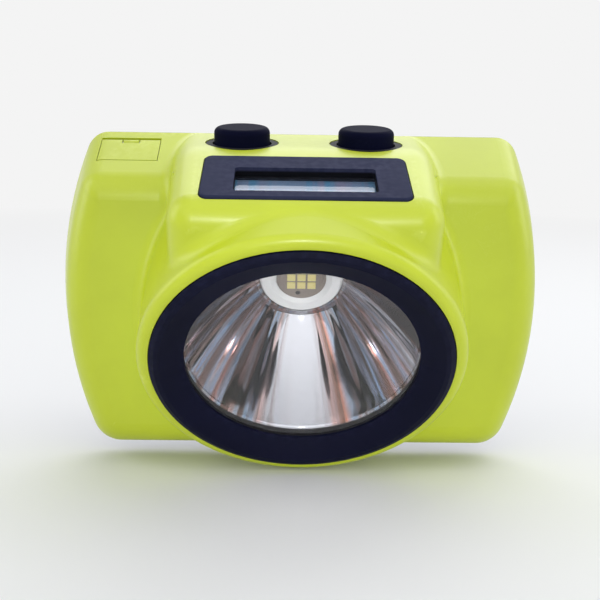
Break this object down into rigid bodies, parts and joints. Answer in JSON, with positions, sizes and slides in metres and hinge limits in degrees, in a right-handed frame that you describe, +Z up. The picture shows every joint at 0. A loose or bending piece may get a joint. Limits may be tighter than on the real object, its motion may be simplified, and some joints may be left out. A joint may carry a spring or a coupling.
{
  "type": "miner's cap lamp",
  "caption": "Cordless miner's cap lamp: yellow housing with a tilted light barrel, small display, push buttons, charging port flap and a steel helmet clip.",
  "frame": {"origin": "middle of the outer face of the clip's tongue, where the lamp lies against the helmet", "axes": "+X to the right for someone facing the lamp, -Y out of the front, +Z up along the flat back; the light beam points 31.7 degrees below -Y"},
  "size_m": [0.088, 0.0509, 0.0622],
  "materials": {
    "shell": "satin",
    "cover": "satin",
    "seal": "matte",
    "steel": "brushed",
    "bezel": "gloss",
    "lens": "clear",
    "mirror": "bright metallised",
    "white_plastic": "satin",
    "led_yellow": "satin",
    "led_board": "coated",
    "heat_sink": "machined",
    "thermal_pad": "matte",
    "display_frame": "satin",
    "display_window": "clear",
    "display_module": "gloss",
    "flex": "satin",
    "collar": "matte",
    "circuit_board": "satin",
    "cell_foil": "foil",
    "foam": "matte",
    "wire": "satin",
    "socket": "plated",
    "clip": "brushed",
    "button": "matte",
    "switch": "matte",
    "plunger": "satin"
  },
  "bodies": {
    "housing": {"front_shell": "shell", "rear_cover": "cover", "housing_seal": "seal", "cover_screws": "steel", "bezel_ring": "bezel", "lens": "lens", "lens_gasket": "seal", "reflector": "mirror", "led_centring_ring": "white_plastic", "main_led": "led_yellow", "led_board": "led_board", "led_board_screws": "steel", "heat_sink": "heat_sink", "thermal_pad": "thermal_pad", "display_bezel": "display_frame", "display_window": "display_window", "display_gasket": "foam", "display_module": "display_module", "display_ribbon": "flex", "button_collars": "collar", "main_board": "circuit_board", "main_board_screws": "steel", "battery_cells": "cell_foil", "battery_pads": "foam", "battery_guard_board": "circuit_board", "led_leads": "wire", "battery_leads": "wire", "charge_leads": "wire", "charge_socket": "socket", "charge_board": "circuit_board", "port_cover_pin": "steel", "helmet_clip": "clip", "clip_screws": "steel", "left_switch": "switch", "right_switch": "switch"},
    "left_button": {"left_button": "button", "left_switch_plunger": "plunger"},
    "right_button": {"right_button": "button", "right_switch_plunger": "plunger"},
    "port_cover": {"port_cover": "shell"}
  },
  "joints": [
    {"name": "left_button_press", "type": "slide", "parent": "housing", "child": "left_button", "axis": [0, 0.1444, -0.9895], "range_m": [0, 0.0008], "stiffness_N_per_m": 2500, "springref_m": -0.0002},
    {"name": "right_button_press", "type": "slide", "parent": "housing", "child": "right_button", "axis": [0, 0.1444, -0.9895], "range_m": [0, 0.0008], "stiffness_N_per_m": 2500, "springref_m": -0.0002},
    {"name": "port_cover_hinge", "type": "hinge", "parent": "housing", "child": "port_cover", "pos_m": [-0.0308, -0.01507, 0.02285], "axis": [-1, 0, 0], "range_deg": [0, 95]}
  ]
}
